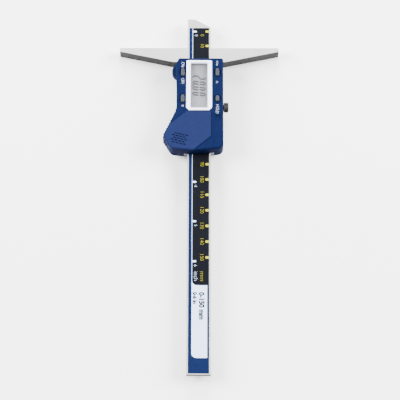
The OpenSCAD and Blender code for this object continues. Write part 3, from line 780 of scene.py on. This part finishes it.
def cover_corners(grow):
    """Plan of the battery cover: a strip between two parallel sliding edges, square at the display, and
    open past the grip's side. Its corners are moved outwards by grow."""
    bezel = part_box("lcd_bezel")[0]
    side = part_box("battery_cover")[1].x
    top = bezel.y - LID_GAP
    reach = 60 * MM
    slide = np.array([-math.cos(LID_TURN), -math.sin(LID_TURN)])
    across = np.array([math.sin(LID_TURN), -math.cos(LID_TURN)])
    upper = np.array([bezel.x + LID_GAP, top])
    lower = upper + across * LID_WIDTH
    last = lower - slide * (side - lower[0]) / math.cos(LID_TURN)
    plan = [upper, upper + slide * reach, lower + slide * reach, last, [side, top]]
    return moved([[x, y, 0.05 * MM] for x, y in plan], -grow)


class GAUGE_OT_housing(Operator):
    """Moulded housing and the plate that closes the back of its grip"""
    bl_idname = "gauge.housing"
    bl_label = "Housing"

    def execute(self, context):
        s = context.scene.gauge_housing
        display = context.scene.gauge_display
        shell = copy_of("housing", "housing_shell")
        skin = housing_skin(s)
        rest = (-(s.waist - 2 * MM), -(s.top + s.rest_r + MM))
        cushion = make("cushion", stack(disc(rest, s.rest_r - SKIN_GAP, 72),
                                        edge_levels(s.rim - MM, s.rest_top - SKIN_GAP, 1.4 * MM)))
        combine(skin, cushion, "UNION")
        combine(shell, skin, "INTERSECT")
        front = front_face()
        cuts = [opening_flare(outline(bezel_corners(display), 6), front, s.flare)]
        for node in BUTTONS:
            low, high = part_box(node)
            middle = ((low.x + high.x) / 2, (low.y + high.y) / 2)
            wide = high.x - low.x + 1.2 * MM
            tall = high.y - low.y - 2 * BUTTON_TAB + 0.7 * MM
            cuts.append(opening_flare(long_hole(middle, wide, tall), front, s.flare))
        cuts.append(opening_flare(outline(cover_corners(0.1 * MM)), front, s.seam))
        for number, cut in enumerate(cuts):
            combine(shell, make(f"cut_{number}", cut), "DIFFERENCE")
        finish_piece(shell, SLIDER, "blue_plastic", "housing", "housing")
        machined("grip_back", 0.15 * MM, SLIDER, "blue_plastic", "housing")
        machined("housing_screws", 0.08 * MM, SLIDER, "screw_steel", "screw")
        return {"FINISHED"}


class GAUGE_OT_covers(Operator):
    """Battery cover and data port cover"""
    bl_idname = "gauge.covers"
    bl_label = "Covers"

    def execute(self, context):
        s = context.scene.gauge_housing
        for node, finish in (("battery_cover", "cover"), ("port_cover", "housing")):
            cover = copy_of(node, node + "_lid")
            break_edges(cover, s.lid_edge)
            combine(cover, housing_skin(s), "INTERSECT")
            finish_piece(cover, node, "cover_blue", finish, node)
        return {"FINISHED"}


def bezel_corners(display, grow=0.1 * MM):
    """Outline of the bezel: round upper corners, cut lower ones."""
    low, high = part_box("lcd_bezel")
    end, top = low.y + BEZEL_TAB, high.y - BEZEL_TAB
    corners = [
        [high.x, top, display.upper_r],
        [low.x, top, display.upper_r],
        [low.x, end + display.cut, 0.7 * MM],
        [low.x + display.cut, end, 0.7 * MM],
        [high.x - display.cut, end, 0.7 * MM],
        [high.x, end + display.cut, 0.7 * MM],
    ]
    return moved(corners, -grow)


class GAUGE_OT_display(Operator):
    """Bezel, window, display glass, digits and what carries them"""
    bl_idname = "gauge.display"
    bl_label = "Display"

    def execute(self, context):
        s = context.scene.gauge_display
        low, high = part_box("lcd_bezel")
        middle = (low.y + high.y) / 2
        bezel = make("bezel", stack(outline(bezel_corners(s, -SKIN_GAP), 6),
                                    edge_levels(low.z, high.z, s.bezel_round)))
        plan = outline(rectangle(low.x + MM, low.y, high.x - MM, high.y))
        lip = make("lip", stack(plan, [(low.z + SLIVER, 0), (low.z + 0.7 * MM, 0)]))
        combine(bezel, lip, "UNION")
        half_w, half_l = s.window_w / 2, s.window_l / 2
        hole = rectangle(-half_w, middle - half_l, half_w, middle + half_l, 0.3 * MM)
        window = stack(outline(hole), [(low.z - MM, 0), (high.z - 0.9 * MM, 0),
                                       (high.z + 0.2 * MM, -s.window_flare * 1.2)])
        combine(bezel, make("window", window), "DIFFERENCE")
        lens_low, lens_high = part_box("lcd_lens")
        play = 0.05 * MM
        plan = outline(rectangle(lens_low.x - play, lens_low.y - play,
                                 lens_high.x + play, lens_high.y + play))
        pocket = make("pocket", stack(plan, [(low.z - MM, 0), (lens_high.z, 0)]))
        combine(bezel, pocket, "DIFFERENCE")
        finish_piece(bezel, SLIDER, "white_plastic", "bezel", "lcd_bezel")
        dress("window", "lcd_lens")
        dress("glass", "lcd_glass")
        dress("tray", "lcd_tray")
        dress("rubber", "contact_strips")
        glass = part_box("lcd_glass")[1].z
        segments = reading_segments(s, -s.digit_h / 2, high.y - BEZEL_TAB - s.start, glass)
        finish_piece(make("lcd_segments", *segments), SLIDER, "display_grey", "segment")
        return {"FINISHED"}


LIT = {
    "0": "abcdef", "1": "bc", "2": "abged", "3": "abgcd", "4": "fgbc",
    "5": "afgcd", "6": "afgedc", "7": "abc", "8": "abcdefg", "9": "abcdfg",
}


def reading_segments(s, foot, start, level):
    """Seven-segment digits: each bar is a hexagon between two joints of the figure, leaned by the slant.
    The digits stand towards +X and read towards -Y."""
    w, h, t = s.digit_w - s.stroke, s.digit_h - s.stroke, s.stroke
    joints = {"a": ((0, h), (w, h)), "b": ((w, h / 2), (w, h)), "c": ((w, 0), (w, h / 2)),
              "d": ((0, 0), (w, 0)), "e": ((0, 0), (0, h / 2)), "f": ((0, h / 2), (0, h)),
              "g": ((0, h / 2), (w, h / 2))}
    hexagon = np.array([[0, 0], [0.5, 0.5], [-0.5, 0.5], [0, 0], [-0.5, -0.5], [0.5, -0.5]])
    gap = 0.08 * t
    shapes = []

    def bar(points):
        """Leans the points, turns them to the display's own direction and gives them a thickness."""
        leaned = points[:, 0] + s.slant * points[:, 1]
        flat = np.column_stack([foot + t / 2 + points[:, 1], start - t / 2 - leaned])
        ring = flat[::-1]
        area = np.sum(ring[:, 0] * np.roll(ring[:, 1], -1) - np.roll(ring[:, 0], -1) * ring[:, 1])
        ring = ring if area > 0 else ring[::-1]
        shapes.append(stack(lambda inset: ring, [(level + 0.005 * MM, 0), (level + 0.03 * MM, 0)]))

    place = 0.0
    for character in s.reading:
        if character == ".":
            dot = np.array([[0, 0], [1, 0], [1, 1], [0, 1]]) * t * 0.9
            bar(dot + [place - 0.5 * (s.pitch - s.digit_w) - 0.95 * t, -t / 2])
            continue
        for name in LIT[character]:
            a, b = np.array(joints[name][0], float), np.array(joints[name][1], float)
            along = (b - a) / np.linalg.norm(b - a)
            side = np.array([-along[1], along[0]])
            ends = np.array([a, a, b, b, b, a]) + along * gap * np.array([[1], [1], [-1], [-1], [-1], [1]])
            bar(ends + (hexagon[:, :1] * along + hexagon[:, 1:] * side) * t + [place, 0])
        place += s.pitch
    return shapes


class GAUGE_OT_buttons(Operator):
    """Four buttons and the words beside them"""
    bl_idname = "gauge.buttons"
    bl_label = "Buttons"

    def execute(self, context):
        s = context.scene.gauge_housing
        middles = {}
        flange_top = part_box("port_cover")[1].z - 1.4 * MM
        for node in BUTTONS:
            low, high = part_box(node)
            middles[node] = middle = ((low.x + high.x) / 2, (low.y + high.y) / 2)
            plan = long_hole(middle, high.x - low.x - 2 * SKIN_GAP,
                             high.y - low.y - 2 * BUTTON_TAB - 2 * SKIN_GAP)
            button = make(node + "_cap", stack(plan, edge_levels(low.z, high.z, 0.55 * MM, 6)))
            wide = high.x - low.x - 0.6 * MM
            plan = outline(rectangle(middle[0] - wide / 2, low.y, middle[0] + wide / 2, high.y, 0.3 * MM))
            flange = make("flange", stack(plan, [(flange_top - 0.8 * MM, 0), (flange_top, 0)]))
            combine(button, flange, "UNION")
            finish_piece(button, node, "button_grey", "button", node)
        level, thick = front_face() - SLIVER, 0.025 * MM
        left, right = middles["button_power"][0], middles["button_units"][0]
        words = (("ON", left, -15.1), ("OFF", left, -26.3), ("0", left, -42.9),
                 ("mm", right, -14.1), ("in", right, -26.9), ("HOLD", right, -45.0))
        shapes = [word(text, x - s.label / 2, y * MM, s.label, level, thick, 0.8) for text, x, y in words]
        finish_piece(make("button_words", *shapes), SLIDER, "white_plastic", "label")
        return {"FINISHED"}


class GAUGE_OT_lock(Operator):
    """Knurled lock screw"""
    bl_idname = "gauge.lock"
    bl_label = "Lock screw"

    def execute(self, context):
        s = context.scene.gauge_steel
        low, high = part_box("lock_screw")
        radius = (high.y - low.y) / 2 - SLIVER
        inner, outer = high.x - s.knob_length, high.x
        grip_from, grip_to = inner + 0.5 * MM, outer - 0.55 * MM
        shank, neck, axis = s.shank_r, 0.78 * radius, 0.0001 * MM
        chamfer, fade, dish = 0.35 * MM, 0.25 * MM, outer - 0.3 * MM
        profile = [[axis, low.x], [shank - chamfer, low.x], [shank, low.x + 0.4 * MM], [shank, inner],
                   [neck, inner + SLIVER], [radius - 0.1 * MM, inner + chamfer]]
        profile += [[radius, x] for x in np.linspace(grip_from, grip_to, 16)]
        profile += [[radius - 0.12 * MM, outer - chamfer], [neck, outer - SLIVER],
                    [0.62 * radius, outer], [0.55 * radius, dish], [axis, dish]]

        def knurl(turn, along):
            """Grooves in step with the angle, only between the ends of the knurled band."""
            inside = np.clip((along - grip_from) / fade, 0, 1) * np.clip((grip_to - along) / fade, 0, 1)
            return s.knurl_depth * inside * (1 - np.cos(s.knurl_ribs * turn)) / 2

        points, faces = turned(profile, s.knurl_ribs * 8, knurl)
        centre = ((low.y + high.y) / 2, (low.z + high.z) / 2)
        placed = np.column_stack([points[:, 2], centre[0] + points[:, 0], centre[1] + points[:, 1]])
        knob = make("lock_knob", (placed, faces))
        finish_piece(knob, "lock_screw", "knob_steel", "knob", "lock_screw")
        return {"FINISHED"}


class GAUGE_OT_inside(Operator):
    """Board, chip, switches, cell and contacts inside the housing"""
    bl_idname = "gauge.inside"
    bl_label = "Inside"

    def execute(self, context):
        machined("main_board", 0.08 * MM, SLIDER, "circuit_green", "board")
        machined("quartz_can", 0.25 * MM, SLIDER, "nickel", "nickel")
        machined("key_switches", 0.15 * MM, SLIDER, "switch_plastic", "switch")
        machined("coin_cell", 0.2 * MM, SLIDER, "nickel", "nickel")
        low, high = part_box("chip_cap")
        middle, radius, rise = (low + high) / 2, (high.x - low.x) / 2 - SKIN_GAP, high.z - low.z
        bend = np.linspace(0, math.pi / 2, 9)[:-1]
        levels = [(low.z + rise * math.sin(a), radius * (1 - math.cos(a))) for a in bend]
        dome = make("chip_dome", stack(disc((middle.x, middle.y), radius), levels))
        finish_piece(dome, SLIDER, "chip_epoxy", "epoxy", "chip_cap")
        dress("gold", "contact_minus", "contact_plus", "data_pads")
        return {"FINISHED"}


class GAUGE_OT_studio(Operator):
    """Floor, lights and camera"""
    bl_idname = "gauge.studio"
    bl_label = "Studio"

    def execute(self, context):
        s = context.scene.gauge_studio
        half = s.floor / 2
        plan = outline(rectangle(-half, -half, half, half, 0.1))
        floor = make("floor", stack(plan, [(-0.02, 0), (-0.05 * MM, 0)]))
        floor.data.materials.append(FINISHES["floor"])

        world = bpy.data.worlds.new("studio_sky")
        world.use_nodes = True
        world.node_tree.nodes["Background"].inputs["Color"].default_value = (1, 1, 1, 1)
        world.node_tree.nodes["Background"].inputs["Strength"].default_value = s.sky
        context.scene.world = world

        aim = Vector((s.aim_x, s.aim_y, s.aim_z))
        for name, place, power in (("left", Vector((-1.2, 0.15, 0.8)), s.side),
                                   ("right", Vector((1.2, 0.15, 0.8)), s.side),
                                   ("beyond", Vector((0.0, 1.3, 0.6)), s.back)):
            light = bpy.data.lights.new(name, "AREA")
            light.shape = "DISK"
            light.size = LAMP_WIDTH
            light.energy = power
            lamp = bpy.data.objects.new(name, light)
            lamp.rotation_euler = (aim - place).to_track_quat("-Z", "Y").to_euler()
            lamp.location = place
            context.scene.collection.objects.link(lamp)

        camera = bpy.data.cameras.new("camera")
        camera.lens = s.lens
        camera.clip_start = 0.01
        viewer = bpy.data.objects.new("camera", camera)
        turn = Matrix.Rotation(s.tilt, 4, "X") @ Matrix.Rotation(s.roll, 4, "Z")
        viewer.matrix_world = Matrix.Translation(aim) @ turn @ Matrix.Translation((0, 0, s.distance))
        context.scene.collection.objects.link(viewer)
        context.scene.camera = viewer
        return {"FINISHED"}


class GAUGE_PT_panel(Panel):
    """Lists the pieces of the gauge"""
    bl_idname = "GAUGE_PT_panel"
    bl_label = "Depth gauge"
    bl_space_type = "VIEW_3D"
    bl_region_type = "UI"
    bl_category = "Depth gauge"

    def draw(self, context):
        for operator in PIECES:
            self.layout.operator(operator.bl_idname)
        for name in GROUPS:
            box = self.layout.box()
            group = getattr(context.scene, name)
            for label in group.__annotations__:
                box.prop(group, label)


GROUPS = {
    "gauge_steel": GaugeSteelSizes,
    "gauge_scale": GaugeScaleSizes,
    "gauge_housing": GaugeHousingSizes,
    "gauge_display": GaugeDisplaySizes,
    "gauge_colours": GaugeColours,
    "gauge_studio": GaugeStudio,
}
PIECES = (
    GAUGE_OT_finishes, GAUGE_OT_studio, GAUGE_OT_base, GAUGE_OT_slider, GAUGE_OT_beam, GAUGE_OT_scale,
    GAUGE_OT_housing, GAUGE_OT_covers, GAUGE_OT_display, GAUGE_OT_buttons, GAUGE_OT_lock, GAUGE_OT_inside,
)
CLASSES = (*GROUPS.values(), *PIECES, GAUGE_PT_panel)


def register():
    for each in CLASSES:
        bpy.utils.register_class(each)
    for name, group in GROUPS.items():
        setattr(bpy.types.Scene, name, PointerProperty(type=group))


def unregister():
    for name in GROUPS:
        delattr(bpy.types.Scene, name)
    for each in reversed(CLASSES):
        bpy.utils.unregister_class(each)


def main():
    register()
    for piece in PIECES:
        group, name = piece.bl_idname.split(".")
        getattr(getattr(bpy.ops, group), name)()


if __name__ == "__main__":
    main()
